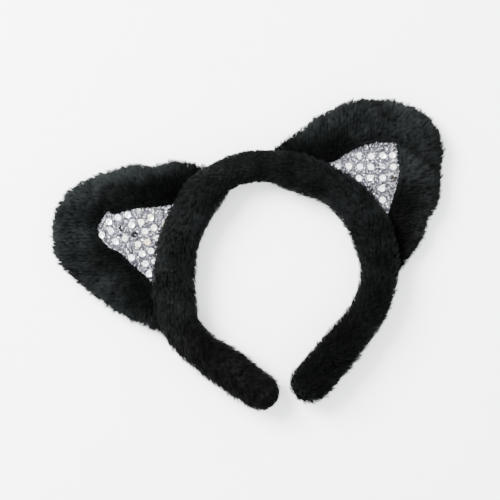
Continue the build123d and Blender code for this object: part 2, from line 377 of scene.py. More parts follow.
def band_line(side, step=0.5):
    """Distances, points, directions and outward directions along one half of the band."""
    turn = TURN_SIDE[side]
    flex = np.array(JOINTS[f"{side}_arm_flex"]["pos_m"][:2]) / MM
    angle = START_HEADING[side]
    first = ARCS[side][0][0]
    centre = flex + heading(angle + FLEX_TURN[side] * turn + 90 * turn) * first
    point = centre - heading(angle + 90 * turn) * first
    points = []
    angles = []
    for radius, swing in ARCS[side] + [(0, 0)]:
        length = math.radians(swing) * radius if swing else RUNS[side]
        count = max(2, round(length / step))
        half = swing / count / 2 * turn
        for _ in range(count):
            points.append(point)
            angles.append(angle)
            point = point + heading(angle + half) * (length / count)
            angle = angle + 2 * half
    points = np.array(points + [point])
    angles.append(angle)
    along = np.array([heading(a) for a in angles])
    outward = along[:, ::-1] * [turn, -turn]
    return distances_along(points), points, along, outward


LINES = {side: band_line(side) for side in SIDES}


def full_radius(side, distance, edge):
    """The half width with the pile, smoothed along the band: edge 1 is the outer and 2 the inner."""
    table = np.array(TUBE_WIDTHS[side])
    shifts = (-5, -2.5, 0, 2.5, 5)
    return sum(np.interp(distance + shift, table[:, 0], table[:, edge]) for shift in shifts) / len(shifts)


def tube_radius(side, distance, edge=1):
    """The plush tube's own half width, under its pile."""
    return np.maximum(full_radius(side, distance, edge) - PILE_REACH, LEAST_TUBE)


# ---- meshes


def new_piece(name, points, faces, material, uvs=None):
    """A mesh object from points in millimetres; uvs are one pair for each point."""
    faces = np.asarray(faces, np.int32)
    mesh = bpy.data.meshes.new(name)
    mesh.vertices.add(len(points))
    mesh.vertices.foreach_set("co", (np.asarray(points) * MM).astype(np.float32).ravel())
    mesh.loops.add(faces.size)
    mesh.loops.foreach_set("vertex_index", faces.ravel())
    mesh.polygons.add(len(faces))
    mesh.polygons.foreach_set("loop_start", np.arange(0, faces.size, faces.shape[1], dtype=np.int32))
    mesh.update(calc_edges=True)
    if uvs is not None:
        layer = mesh.uv_layers.new(name="OFBake")
        layer.data.foreach_set("uv", np.asarray(uvs, np.float32)[faces.ravel()].ravel())
    mesh.polygons.foreach_set("use_smooth", np.ones(len(faces), bool))
    mesh.materials.append(material)
    piece = bpy.data.objects.new(name, mesh)
    bpy.context.scene.collection.objects.link(piece)
    return piece


def grid_faces(rows, columns):
    """Triangles of rows of points, each row a closed ring."""
    a = np.arange(rows * columns).reshape(rows, columns)
    b = np.roll(a, -1, axis=1)
    quads = np.stack([a[:-1], b[:-1], b[1:], a[1:]], axis=-1).reshape(-1, 4)
    return np.concatenate([quads[:, [0, 1, 2]], quads[:, [0, 2, 3]]])


def repeated_faces(count, rows, columns):
    """The triangles of many equal grids, whose points follow each other."""
    starts = np.arange(count)[:, None, None] * (rows * columns)
    return (starts + grid_faces(rows, columns)).reshape(-1, 3)


def face_crosses(points, faces):
    corners = points[faces]
    return np.cross(corners[:, 1] - corners[:, 0], corners[:, 2] - corners[:, 0])


def facing(points, faces, way):
    """Faces turned to look along way, and the normals at the points."""
    across = face_crosses(points, faces)
    normals = np.zeros_like(points)
    for k in range(3):
        np.add.at(normals, faces[:, k], across)
    normals = unit(normals)
    return (faces, normals) if (normals * way).sum() > 0 else (faces[:, ::-1], -normals)


def scatter(points, faces, density, rng, *values):
    """Random places on a surface, so many a square millimetre, with values blended from its points."""
    areas = np.linalg.norm(face_crosses(points, faces), axis=1) / 2
    count = int(areas.sum() * density)
    picked = faces[rng.choice(len(faces), count, p=areas / areas.sum())]
    share = rng.random((count, 2))
    over = share.sum(axis=1) > 1
    share[over] = 1 - share[over]
    weights = np.column_stack([1 - share.sum(axis=1), share])
    return [np.einsum("nc,nc...->n...", weights, value[picked]) for value in (points,) + values]


# ---- the pile


def gather_tufts(tips, clump, rng):
    """Tips drawn towards the middle of their own tuft."""
    sizes = np.bincount(clump)[:, None]
    middle = np.column_stack([np.bincount(clump, tips[:, k]) for k in range(3)]) / sizes
    stray = rng.normal(size=middle.shape) * CLUMP_STRAY
    pull = CLUMP_PULL * np.clip(rng.uniform(0.8, 1.2, len(middle)), 0, 1)
    pull = pull[clump][:, None]
    return tips * (1 - pull) + (middle + stray)[clump] * pull


def pile(name, roots, normals, lay, rng, height, shade=0):
    """Tapered strands of plush pile that lean along lay and gather in small tufts."""
    count = len(roots)
    normals = unit(normals)
    seed = int(rng.integers(1 << 30))
    wide = soft_noise(roots, WIDE_CELL, seed)
    fine = soft_noise(roots, FINE_CELL, seed + 1)
    swirl = noise_vectors(roots, SWIRL_CELL, seed + 2)
    lay = unit(lay + LAY_SWIRL * swirl + LAY_SCATTER * rng.normal(size=(count, 3)))
    lay = unit(lay - normals * (lay * normals).sum(axis=1, keepdims=True))
    angle = LEAN + LEAN_WIDE * wide + LEAN_FINE * fine + LEAN_SCATTER * rng.normal(size=count)
    angle = np.radians(angle)[:, None]
    warped = roots + WARP * noise_vectors(roots, WARP_CELL, seed + 5)
    cells = np.floor(warped / CLUMP_CELL).astype(np.int64)
    clump = np.unique(cells @ CELL_KEYS, return_inverse=True)[1].ravel()
    clumps = clump.max() + 1
    longer = REACH_TUFT * rng.normal(size=clumps)[clump]
    varied = 1 + longer + REACH_FINE * fine + REACH_SCATTER * rng.normal(size=count)
    reach = np.clip(height / math.cos(math.radians(LEAN)) * varied, 0.5 * height, 2.4 * height)[:, None]
    tips = roots + (normals * np.cos(angle) + lay * np.sin(angle)) * reach
    tips = gather_tufts(tips, clump, rng)

    # Each strand: two points at the root, two at the bend and one at the tip.
    line = tips - roots
    bend = roots + line * 0.5 + normals * STRAND_BOW * reach
    across = unit(np.cross(line, normals) + STRAND_TWIST * rng.normal(size=(count, 3)))
    half = STRAND_WIDTH / 2 * rng.uniform(0.8, 1.2, (count, 1))
    at_root = across * half
    at_bend = at_root * STRAND_TAPER
    points = np.stack([roots - at_root, roots + at_root, bend - at_bend, bend + at_bend, tips], axis=1)
    points = points.reshape(-1, 3)
    points[:, 2] = np.maximum(points[:, 2], FLOOR_GAP)
    base = np.arange(count)[:, None] * 5
    faces = np.concatenate([base + [0, 1, 3], base + [0, 3, 2], base + [2, 3, 4]])

    # The UV layer carries the strand's tone and how far along the strand a point is.
    tuft = rng.normal(size=clumps)[clump]
    tone = TONE_MIDDLE + shade + TONE_WIDE * wide + TONE_FINE * fine + TONE_TUFT * tuft
    tone = tone + TONE_SCATTER * rng.normal(size=count)
    uvs = np.empty((count, 5, 2))
    uvs[:, :, 0] = np.clip(tone, 0.02, 0.98)[:, None]
    uvs[:, :, 1] = [0.02, 0.02, 0.5, 0.5, 0.98]
    fur = new_piece(name, points, faces, PILE, uvs.reshape(-1, 2))
    return fur


# ---- materials


def shader(name, **plain):
    """A new Principled material with plain values on its sockets."""
    material = bpy.data.materials.new(name)
    material.use_nodes = True
    surface = material.node_tree.nodes["Principled BSDF"]
    for socket, value in plain.items():
        surface.inputs[socket.replace("_", " ")].default_value = value
    return material, material.node_tree, surface


def add_node(tree, kind, **values):
    node = tree.nodes.new(kind)
    for key, value in values.items():
        if key in node.inputs:
            node.inputs[key].default_value = value
        else:
            setattr(node, key, value)
    return node


def grey(value):
    return (value,) * 3


def ramp(tree, source, stops):
    """A colour ramp fed by source; stops are (place, colour)."""
    node = tree.nodes.new("ShaderNodeValToRGB")
    elements = node.color_ramp.elements
    for i, (place, colour) in enumerate(stops):
        element = elements[i] if i < 2 else elements.new(place)
        element.position = place
        element.color = (*colour, 1)
    tree.links.new(source, node.inputs["Fac"])
    return node.outputs["Color"]


def paint(tree, surface, source, stops, socket="Base Color"):
    """A colour ramp led into one of the surface's sockets."""
    tree.links.new(ramp(tree, source, stops), surface.inputs[socket])


def texture(tree, kind, **values):
    """A texture laid out in the object's own space."""
    node = add_node(tree, kind, **values)
    place = tree.nodes.new("ShaderNodeTexCoord")
    tree.links.new(place.outputs["Object"], node.inputs["Vector"])
    return node


def noise(tree, scale, detail=3):
    return texture(tree, "ShaderNodeTexNoise", Scale=scale, Detail=detail, Roughness=0.6).outputs["Fac"]


def uv_values(tree):
    """The two values that the mesh code writes in the UV layer."""
    layer = add_node(tree, "ShaderNodeUVMap", uv_map="OFBake")
    split = tree.nodes.new("ShaderNodeSeparateXYZ")
    tree.links.new(layer.outputs["UV"], split.inputs["Vector"])
    return split.outputs["X"], split.outputs["Y"]


def bump(tree, surface, height, strength, distance):
    node = add_node(tree, "ShaderNodeBump", Strength=strength, Distance=distance)
    tree.links.new(height, node.inputs["Height"])
    tree.links.new(node.outputs["Normal"], surface.inputs["Normal"])


def pile_material():
    """Near-black plush: darker at the roots, painted shade deep in the pile; cooler and paler at the tips,
    varying from tuft to tuft.
    """
    material, tree, surface = shader(
        "black_pile", Roughness=0.55, Specular_IOR_Level=0.025, Sheen_Weight=0.014, Sheen_Roughness=0.5,
        Sheen_Tint=(0.75, 0.85, 0.9, 1),
    )
    tone, along = uv_values(tree)
    colour = ramp(tree, tone, [
        (0, grey(0.0003)), (0.25, (0.0008, 0.0008, 0.0007)), (0.5, (0.0024, 0.0026, 0.0024)),
        (0.75, (0.0057, 0.0067, 0.0064)), (1, (0.0120, 0.0142, 0.0138)),
    ])
    # Painted shade at the roots, deep in the pile, lifting towards the tips.
    fade = ramp(tree, along, [(0, grey(0.45)), (1, (1.35, 1.35, 1.38))])
    mix = add_node(tree, "ShaderNodeMix", data_type="RGBA", blend_type="MULTIPLY")
    mix.inputs["Factor"].default_value = 1
    tree.links.new(colour, mix.inputs["A"])
    tree.links.new(fade, mix.inputs["B"])
    tree.links.new(mix.outputs["Result"], surface.inputs["Base Color"])
    return material


def net_material():
    """Silver knit: bright and dark metal loops over a grey ground."""
    material, tree, surface = shader("silver_net", Roughness=0.42, Metallic=0.55)
    cells = texture(tree, "ShaderNodeTexVoronoi", Scale=2300)
    split = tree.nodes.new("ShaderNodeSeparateColor")
    tree.links.new(cells.outputs["Color"], split.inputs["Color"])
    paint(tree, surface, split.outputs["Red"], [
        (0, (0.006, 0.006, 0.008)), (0.35, (0.025, 0.025, 0.03)), (0.7, (0.08, 0.078, 0.095)),
        (1, (0.34, 0.34, 0.37)),
    ])
    bump(tree, surface, cells.outputs["Distance"], 0.8, 0.0005)
    return material


def fleck_material():
    """Metal yarn flecks in silver, white, lilac and dark tones."""
    material, tree, surface = shader("silver_fleck", Roughness=0.26, Metallic=0.9)
    paint(tree, surface, uv_values(tree)[0], [
        (0, (0.008, 0.008, 0.010)), (0.3, (0.025, 0.025, 0.035)), (0.5, (0.07, 0.067, 0.092)),
        (0.72, (0.16, 0.16, 0.19)), (0.87, (0.55, 0.55, 0.58)), (1, (0.98, 0.98, 1.0)),
    ])
    return material


def sequin_material():
    """Mirror film, mostly white silver, some cream, a few peach or dark, with fine scuffs."""
    material, tree, surface = shader("sequin_film", Metallic=0.9)
    paint(tree, surface, uv_values(tree)[0], [
        (0, (0.010, 0.010, 0.013)), (0.12, (0.03, 0.028, 0.024)), (0.14, (0.97, 0.97, 0.99)),
        (0.72, grey(0.97)), (0.86, (0.96, 0.93, 0.74)), (0.95, (0.96, 0.84, 0.62)),
        (1, (0.95, 0.66, 0.46)),
    ])
    paint(tree, surface, noise(tree, 2500), [(0.35, grey(0.10)), (0.7, grey(0.26))], "Roughness")
    return material


def thread_material(name, dark, pale):
    """Twisted thread with a fine ribbed look."""
    material, tree, surface = shader(name, Roughness=0.6)
    twist = texture(tree, "ShaderNodeTexWave", Scale=2200, Distortion=1.5)
    paint(tree, surface, twist.outputs["Fac"], [(0, dark), (1, pale)])
    bump(tree, surface, twist.outputs["Fac"], 0.4, 0.0001)
    return material


def speckled_material(name, tones, scale, roughness, relief, strength=0.4, detail=5, edge=0.35, **plain):
    """Knit, foam, fibre or moulded plastic: two close tones and a matching relief."""
    material, tree, surface = shader(name, Roughness=roughness, **plain)
    grain = noise(tree, scale, detail)
    paint(tree, surface, grain, [(edge, tones[0]), (1 - edge, tones[1])])
    bump(tree, surface, grain, strength, relief)
    return material


PILE = pile_material()
NET = net_material()
FLECK = fleck_material()
SEQUIN = sequin_material()
FOAM = speckled_material("foam", ((0.55, 0.54, 0.5), (0.8, 0.79, 0.74)), 900, 0.9, 0.0004)
PLASTIC = speckled_material("strip_plastic", (grey(0.02), grey(0.035)), 1500, 0.4, 0.00003)
# The padded pieces' materials and the threads', by their slots.
PADS = {
    "black_plush": speckled_material(
        "plush_backing", (grey(0.0006), (0.0030, 0.0031, 0.0029)), 1800, 0.95, 0.0004, strength=0.5,
        detail=3, edge=0.3, Specular_IOR_Level=0.02,
    ),
    "fibre_filling": speckled_material(
        "fibre_filling", ((0.7, 0.7, 0.69), (0.9, 0.9, 0.88)), 500, 0.95, 0.0008
    ),
}
THREADS = {
    "black_thread": thread_material("black_thread", grey(0.0015), grey(0.005)),
    "silver_thread": thread_material("pale_thread", (0.35, 0.35, 0.36), grey(0.8)),
}


def stitches(name, node, kind, centres, directions, ups):
    """Short bowed threads in place of a CAD node: five-sided tubes that dip at both ends."""
    slot, length, thickness, arch = kind
    count = len(centres)
    stations = np.linspace(-1, 1, 7)
    ring = circle(5)
    sides = unit(np.cross(directions, ups))
    points = np.empty((count, len(stations), len(ring), 3))
    for i, station in enumerate(stations):
        rise = arch * (1 - STITCH_DIP * station * station)
        middle = centres + directions * station * length / 2 + ups * rise
        radius = thickness / 2 * math.sqrt(max(1 - abs(station) ** 4, 0.05))
        for j, angle in enumerate(ring):
            points[:, i, j] = middle + sides * math.cos(angle) * radius + ups * math.sin(angle) * radius
    faces = repeated_faces(count, len(stations), len(ring))
    thread = new_piece(name, points.reshape(-1, 3), faces, THREADS[slot])
    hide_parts(node)
    return thread


def padded_piece(name, nodes, slot, points, faces, bend):
    """The filling, or the knitted ground that pile stands on, in place of CAD nodes."""
    pad = new_piece(name, points, faces, PADS[slot])
    bend(pad)
    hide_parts(*nodes)


# ---- the band


def band_pelt(side):
    """One sleeve half from the crown to its round end: points, faces, normals, nap and distances."""
    distances, line, along, outward = LINES[side]
    length = distances[-1]
    end_radius = float(tube_radius(side, length))
    body = np.arange(-CROWN_OVERLAP, length, RING_STEP)
    cap = length + end_radius * np.sin(np.linspace(0, math.pi / 2, END_RINGS))
    stations = np.concatenate([body, cap])
    stations[-1] -= 0.001
    inside = np.clip(stations, 0, length)
    ahead = unit(blend_rows(inside, distances, along))
    out = unit(blend_rows(inside, distances, outward))
    middle = blend_rows(inside, distances, line) + ahead * (stations - inside)[:, None]
    share = np.maximum(stations - inside, 0) / end_radius
    closing = np.sqrt(np.maximum(1 - share**2, 0))
    outer = tube_radius(side, stations) * closing
    inner = tube_radius(side, stations, 2) * closing
    high = (TUBE_HEIGHT - BAND_PILE) * closing
    around = circle(RING_POINTS)
    points = np.empty((len(stations), RING_POINTS, 3))
    wide = np.where(np.cos(around) > 0, outer[:, None], inner[:, None]) * np.cos(around)
    points[:, :, :2] = middle[:, None] + out[:, None] * wide[:, :, None]
    points[:, :, 2] = BAND_Z + high[:, None] * np.sin(around)
    points = points.reshape(-1, 3)
    centres = np.repeat(with_z(middle, BAND_Z), RING_POINTS, axis=0)
    size = np.linalg.norm(points - centres, axis=1) + lumps(points, BAND_LUMPS)
    covering = np.repeat(closing * LEAST_TUBE, RING_POINTS)
    points = centres + unit(points - centres) * np.maximum(size, covering)[:, None]
    faces, normals = facing(points, grid_faces(len(stations), RING_POINTS), points - centres)
    lay = np.repeat(with_z(ahead * TURN_SIDE[side]), RING_POINTS, axis=0)
    return points, faces, normals, lay, np.repeat(stations, RING_POINTS)


def make_sleeve(side):
    """Half of the plush sleeve: its knitted ground and its pile."""
    rng = np.random.default_rng(BAND_SEEDS[side])
    points, faces, normals, lay, stations = band_pelt(side)

    def bend(piece):
        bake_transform(piece)
        return piece

    padded_piece(
        f"{side}_sleeve_plush", SLEEVE_NODES[side], "black_plush", points, faces, bend
    )
    found = scatter(points, faces, PILE_DENSITY, rng, normals, lay, stations)
    # No pile on most of the stretch that the other half covers too.
    kept = found[3] >= -PILE_OVERLAP
    roots, root_normals, root_lay, root_station = (values[kept] for values in found)
    cut = np.quantile(root_station, 0.5)
    height = full_radius(side, root_station, 1) - LEAST_TUBE + 0.2
    height = np.clip(height, LEAST_BAND_PILE, BAND_PILE)
    # Painted light and shade along the band: paler along the middle of each half, darker towards the ends.
    shade = np.interp(root_station, *BAND_PAINTED_LIGHT_AND_SHADE[side])
    for label, chosen in (("upper", root_station < cut), ("lower", root_station >= cut)):
        bend(pile(
            f"{side}_sleeve_pile_{label}", roots[chosen], root_normals[chosen], root_lay[chosen], rng,
            height[chosen], shade[chosen],
        ))


def make_seam(side, node, body, low, high):
    """Stitches of the sleeve's closing seam, on the inner side and turned a little to the back."""
    distances, line, along, outward = LINES[side]
    tilt = math.radians(SEAM_TILT)
    at = np.arange(low, high, SEAM_PITCH)
    index = np.searchsorted(distances, at)
    ups = with_z(-outward[index] * math.cos(tilt), -math.sin(tilt))
    ahead = with_z(along[index])
    middle = with_z(line[index], BAND_Z) + ups * (tube_radius(side, at)[:, None] + 0.1)
    across = unit(np.cross(ahead, ups) + 0.35 * ahead)
    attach(stitches(f"{node}_thread", node, SEAM_STITCH, middle, across, ups), body)


def make_end_gather(side):
    """A ring of stitches that draws the sleeve's round end together."""
    distances, line, along, outward = LINES[side]
    ahead = np.append(along[-1], 0)
    side_axis = np.append(outward[-1], 0)
    radial = np.array([side_axis * math.cos(a) + UP * math.sin(a) for a in circle(GATHER_STITCHES)])
    reach = float(tube_radius(side, distances[-1]))
    middle = np.append(line[-1], BAND_Z) + ahead * (reach - 0.3) + radial * GATHER_RADIUS
    ups = np.tile(ahead, (GATHER_STITCHES, 1))
    knots = stitches(f"{side}_end_gather", f"{side}_end_stitches", SEAM_STITCH, middle, radial, ups)
    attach(knots, f"{side}_arm")


# ---- the ears


def arc_points(first, middle, last, count):
    """Evenly spaced points on the arc through three points."""
    a, b, c = (complex(*point) for point in (first, middle, last))
    ratio = (c - a) / (b - a)
    centre = a + (b - a) * (ratio - abs(ratio) ** 2) / (2j * ratio.imag)
    through, finish = (np.angle((point - centre) / (a - centre)) % (2 * math.pi) for point in (b, c))
    if through > finish:
        finish -= 2 * math.pi
    arc = centre + (a - centre) * np.exp(1j * np.linspace(0, finish, count))
    return np.column_stack([arc.real, arc.imag])


def ear_rim(side):
    """The ear's outline from its right base corner over the tip to its left one, under the pile."""
    tip_centre = np.array([0.0, EAR_LENGTH - EAR_TIP_RADIUS])
    shoulder = tip_centre + heading(90 - EAR_TIP_HALF_TURN) * EAR_TIP_RADIUS
    corner = np.array([EAR_HALF_WIDTH, 0.0])
    x, y = (corner - shoulder) / 2
    bow = np.array([-y, x]) * math.tan(math.radians(EAR_SIDE_HALF_TURN / 2))
    right = arc_points(corner, (corner + shoulder) / 2 + bow, shoulder, 40)
    tip = arc_points(shoulder, (0, EAR_LENGTH), shoulder * [-1, 1], 60)
    left = (right * [-1, 1])[::-1]
    foot = np.array([EAR_FOOT])
    rim = np.concatenate([foot, right, tip[1:-1], left, foot * [-1, 1]])
    for way, height, spread, bulge in RIM_BULGES[side]:
        rim[:, 0] += way * bulge * hump(rim[:, 1] - height, spread) * smooth(way * rim[:, 0] / 25)
    return rim + unit([0, 30] - rim) * RIM_INSET


def segment_distance(points, line):
    """Distance of each point from a line of straight pieces."""
    best = np.full(len(points), 1e9)
    for a, b in zip(line[:-1], line[1:]):
        d = b - a
        t = np.clip(((points - a) @ d) / max(d @ d, 1e-12), 0, 1)
        best = np.minimum(best, np.linalg.norm(points - a - t[:, None] * d, axis=1))
    return best


def inside_outline(points, outline):
    """True for each point inside a closed outline."""
    inside = np.zeros(len(points), bool)
    x, y = points[:, 0], points[:, 1]
    for (ax, ay), (bx, by) in zip(outline, np.roll(outline, -1, axis=0)):
        crosses = (ay > y) != (by > y)
        inside ^= crosses & (x < (bx - ax) * (y - ay) / (by - ay + 1e-12) + ax)
    return inside


def ray_reach(centre, ways, lines):
    """How far each ray from the centre goes before it meets one of the lines."""
    reach = np.full(len(ways), 1e9)
    x, y = ways.T
    for line in lines:
        for (from_x, from_y), (dx, dy) in zip(line[:-1] - centre, np.diff(line, axis=0)):
            cross = x * dy - y * dx
            cross = np.where(np.abs(cross) < 1e-9, 1e-9, cross)
            t = (from_x * dy - from_y * dx) / cross
            s = (from_x * y - from_y * x) / cross
            hit = (t > 0) & (s >= 0) & (s <= 1)
            reach = np.where(hit & (t < reach), t, reach)
    return reach


def spokes(centre, count, lines, shares, extra=0):
    """Rings of points about a centre, at shares of each ray's way to the lines, and their faces."""
    ways = rays(circle(count))
    reach = ray_reach(centre, ways, lines) + extra
    uv = centre + (shares[:, None] * reach)[:, :, None] * ways
    return uv.reshape(-1, 2), grid_faces(len(shares), count)


class Ear:
    """One ear's plane, outlines and surfaces."""

    def __init__(self, side):
        self.side = side
        joint = JOINTS[f"{side}_ear_fold"]
        x, y = joint["axis"][:2]
        self.axes = np.array([(x, y), (-y, x)])
        self.origin = np.array(joint["pos_m"][:2]) / MM - self.axes[1] * EAR_FOLD_V[side]
        self.rim = ear_rim(side)
        self.centre = np.array([0, EAR_CENTRE_V[side]], float)
        distances, line, _, outward = LINES[side]
        self.band = self.to_plane(line)
        self.band_radius = tube_radius(side, distances)
        self.band_out = self.to_plane(self.origin + outward)
        self.band_edge = self.to_plane(line + outward * (self.band_radius - EAR_TUCK)[:, None])
        self.triangle = np.array(TRIANGLES[side], float)
        self.hem = np.vstack([self.triangle, self.triangle[:1]])

    def to_plane(self, xy):
        return (xy - self.origin) @ self.axes.T

    def to_row(self, uv, z):
        return with_z(self.origin + uv @ self.axes, z)

    def turned(self, uv, z=0.0):
        """Directions in the ear's plane as directions in the row's frame."""
        return with_z(uv @ self.axes, z)

    def from_band(self, uv):
        """How far outside the band's plush edge each point is; negative under it and inside the loop."""
        best = np.full(len(uv), 1e9)
        beyond = np.zeros(len(uv))
        for middle, out, radius in zip(self.band[::3], self.band_out[::3], self.band_radius[::3]):
            apart = uv - middle
            away = (apart**2).sum(axis=1)
            nearer = away < best
            best = np.where(nearer, away, best)
            beyond = np.where(nearer, np.copysign(np.sqrt(away), apart @ out) - radius, beyond)
        return beyond

    def rounding(self, uv):
        """From 0 at the rim to 1 where the surface has levelled out."""
        rim = segment_distance(uv, self.rim)
        return np.sqrt(1 - (1 - np.clip(rim / LOBE_ROUNDING, 0, 1)) ** 2)

    def folds(self, uv):
        """From 0 to 1: how deep in one of the ear's soft folds each point lies."""
        lines = [np.array(fold, float) for fold in FOLDS[self.side]]
        return sum(hump(segment_distance(uv, line), FOLD_WIDTH) for line in lines)

    def front_height(self, uv):
        """How far the front stands above the edge seam, under the pile."""
        edge = self.rounding(uv)
        clear = smooth(self.from_band(uv) / BAND_DIP_REACH)
        lobes = LOBE_RISE * (BAND_DIP_SHARE + (1 - BAND_DIP_SHARE) * clear)
        lobes = (lobes + lumps(with_z(uv, FRONT_LUMP_PLACE[self.side]), FRONT_LUMPS)) * edge
        away = segment_distance(uv, self.hem)
        signed = np.where(inside_outline(uv, self.triangle), -away, away)
        sewn = TRIANGLE_RISE * (TRIANGLE_DIP_SHARE + (1 - TRIANGLE_DIP_SHARE) * clear)
        sewn = sewn + TRIANGLE_CROWN * smooth(-signed / TRIANGLE_CROWN_REACH)
        level = smooth((signed + HEM_OFFSET) / HEM_CLIMB)
        groove = HEM_GROOVE * hump(signed - HEM_OFFSET, HEM_GROOVE_WIDTH) + FOLD_DEPTH * self.folds(uv)
        return sewn * (1 - level) + lobes * level - groove * edge

    def back_height(self, uv):
        """How far the back stands below the edge seam, under the pile."""
        return (BACK_RISE + lumps(with_z(uv, BACK_LUMP_PLACE), BACK_LUMPS)) * self.rounding(uv)

    def shade(self, uv):
        """Painted shade in the folds, at the band and on the far side, painted light towards the rim, and a
        darker stretch beside the triangle that is partly the nap and partly painted shade.
        """
        away = segment_distance(uv, self.hem)
        wander = lumps(with_z(uv), SHADE_WANDER)
        # Darker beside the triangle: partly the nap, partly painted shade of the furrow.
        past_end = uv[:, 1] - FURROW_END_V[self.side]
        beside = 1 - smooth((away + wander - FURROW_WIDTH + 4) / 6)
        beside = beside * smooth((wander - past_end) / 9)
        # Painted shade where the ear runs in under the band.
        band = 1 - smooth((self.from_band(uv) + wander) / BAND_SIDE_REACH)
        # Painted light towards the rim.
        rim = np.maximum(smooth((away - FURROW_WIDTH) / 8), smooth((past_end + 4) / 8))
        # Painted shade on the side away from the crown.
        far = FAR_SIDE_PAINTED_SHADE[self.side] * smooth(uv[:, 0] / FAR_SIDE_REACH)
        own = EAR_SHADE[self.side] + RIM_PAINTED_LIGHT * rim + FURROW_NAP_AND_PAINTED_SHADE * beside
        return own + BAND_SIDE_PAINTED_SHADE * band + FOLD_PAINTED_SHADE * self.folds(uv) + far

    def net_height(self, uv):
        """The silver net's height: just above the plush that it is sewn to."""
        return EAR_SEAM_Z + self.front_height(uv) + NET_LIFT


def make_panel(ear, label, uv, faces, points, way, rng, bend):
    """The front or back of an ear: its knitted ground and its pile."""
    side = ear.side
    faces, normals = facing(points, faces, way)
    padded_piece(
        f"{side}_ear_{label}_plush", [f"{side}_ear_{label}_panel"], "black_plush", points, faces,
        bend,
    )
    lay = ear.turned(unit(uv - NAP_CENTRE) * 0.9 + np.array([0, 0.5]))
    roots, root_normals, root_lay, root_uv = scatter(points, faces, PILE_DENSITY, rng, normals, lay, uv)
    keep = ear.from_band(root_uv) > -PILE_TUCK
    if label == "front":
        keep &= ~(inside_outline(root_uv, ear.triangle) & (segment_distance(root_uv, ear.hem) > NET_TUCK))
    shade = ear.shade(root_uv[keep]) if label == "front" else 0
    bend(pile(
        f"{side}_ear_{label}_pile", roots[keep], root_normals[keep], root_lay[keep], rng, EAR_PILE, shade
    ))


def make_wadding(ear, uv, faces, bend):
    """The fibre filling between the two panels."""
    small = ear.centre + (uv - ear.centre) * WADDING_SHARE
    low = ear.to_row(small, EAR_SEAM_Z - WADDING_RISE * ear.back_height(uv))
    top = ear.to_row(small, EAR_SEAM_Z + WADDING_RISE * ear.front_height(uv))
    padded_piece(
        f"{ear.side}_ear_wadding", [f"{ear.side}_ear_filling"], "fibre_filling", np.concatenate([top, low]),
        np.concatenate([faces, faces[:, ::-1] + len(top)]), bend,
    )


def make_ear(side):
    rng = np.random.default_rng(EAR_SEEDS[side])
    ear = Ear(side)

    def bend(piece):
        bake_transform(piece)
        return piece

    # Rings that are closer together towards the edge.
    shares = 1 - (1 - np.linspace(0, 1, EAR_RINGS)) ** EAR_CROWDING
    uv, faces = spokes(ear.centre, EAR_SPOKES, [ear.rim, ear.band_edge], shares)
    make_panel(ear, "front", uv, faces, ear.to_row(uv, EAR_SEAM_Z + ear.front_height(uv)), UP, rng, bend)
    make_panel(ear, "back", uv, faces, ear.to_row(uv, EAR_SEAM_Z - ear.back_height(uv)), -UP, rng, bend)
    make_wadding(ear, uv, faces, bend)
    make_triangle(ear, rng, bend)
    make_base_thread(ear, bend)
    make_edge_thread(ear, bend)


# ---- the silver triangles


def toned(tones, points_each):
    """UV pairs that give every point of a small shape the shape's own tone."""
    return with_z(np.repeat(tones, points_each)[:, None], 0.5)


def make_triangle(ear, rng, bend):
    """The silver net with its flecks, frayed edge, sequins and stitches."""
    side = ear.side
    middle = np.array(TRIANGLE_MIDDLE[side])
    ragged = EDGE_RAGGEDNESS * (1 + rng.normal(size=NET_SPOKES)) - EDGE_TRIM
    uv, faces = spokes(middle, NET_SPOKES, [ear.hem, ear.band_edge], np.linspace(0, 1, NET_RINGS), ragged)
    points = ear.to_row(uv, ear.net_height(uv))
    faces, normals = facing(points, faces, UP)
    net = bend(new_piece(f"{side}_silver_net", points, faces, NET))
    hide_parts(f"{side}_silver_triangle")

    edge = uv[-NET_SPOKES:]
    flecks = make_flecks(side, points, faces, normals, rng)
    on_net = [flecks, make_fray(ear, edge, middle, rng), *make_sequins(ear, rng), make_hem(ear, middle)]
    for piece in on_net:
        bend(piece)


def yarn(name, corners, triangles, tones):
    """Scraps of metal yarn: the corners of each, the triangles that they make, and each scrap's tone."""
    count, corners_each, _ = corners.shape
    starts = np.arange(count)[:, None] * corners_each
    faces = np.concatenate([starts + triangle for triangle in triangles])
    piece = new_piece(name, corners.reshape(-1, 3), faces, FLECK, toned(tones, corners_each))
    return piece


def make_flecks(side, points, faces, normals, rng):
    """Flecks of metal yarn all over the net."""
    spots, normals = scatter(points, faces, FLECK_DENSITY, rng, normals)
    normals = unit(normals)
    count = len(spots)
    tilt = unit(normals + FLECK_TILT * rng.normal(size=(count, 3)))
    one = unit(np.cross(tilt, rng.normal(size=(count, 3))))
    two = np.cross(tilt, one)
    one = one * FLECK_HALF_LENGTH * rng.uniform(0.7, 1.3, (count, 1))
    two = two * FLECK_HALF_WIDTH * rng.uniform(0.7, 1.3, (count, 1))
    middle = spots + normals * rng.uniform(*FLECK_LIFTS, (count, 1))
    corners = [middle - one - two, middle + one - two, middle + one + two, middle - one + two]
    return yarn(f"{side}_net_flecks", np.stack(corners, axis=1), [[0, 1, 2], [0, 2, 3]], rng.random(count))


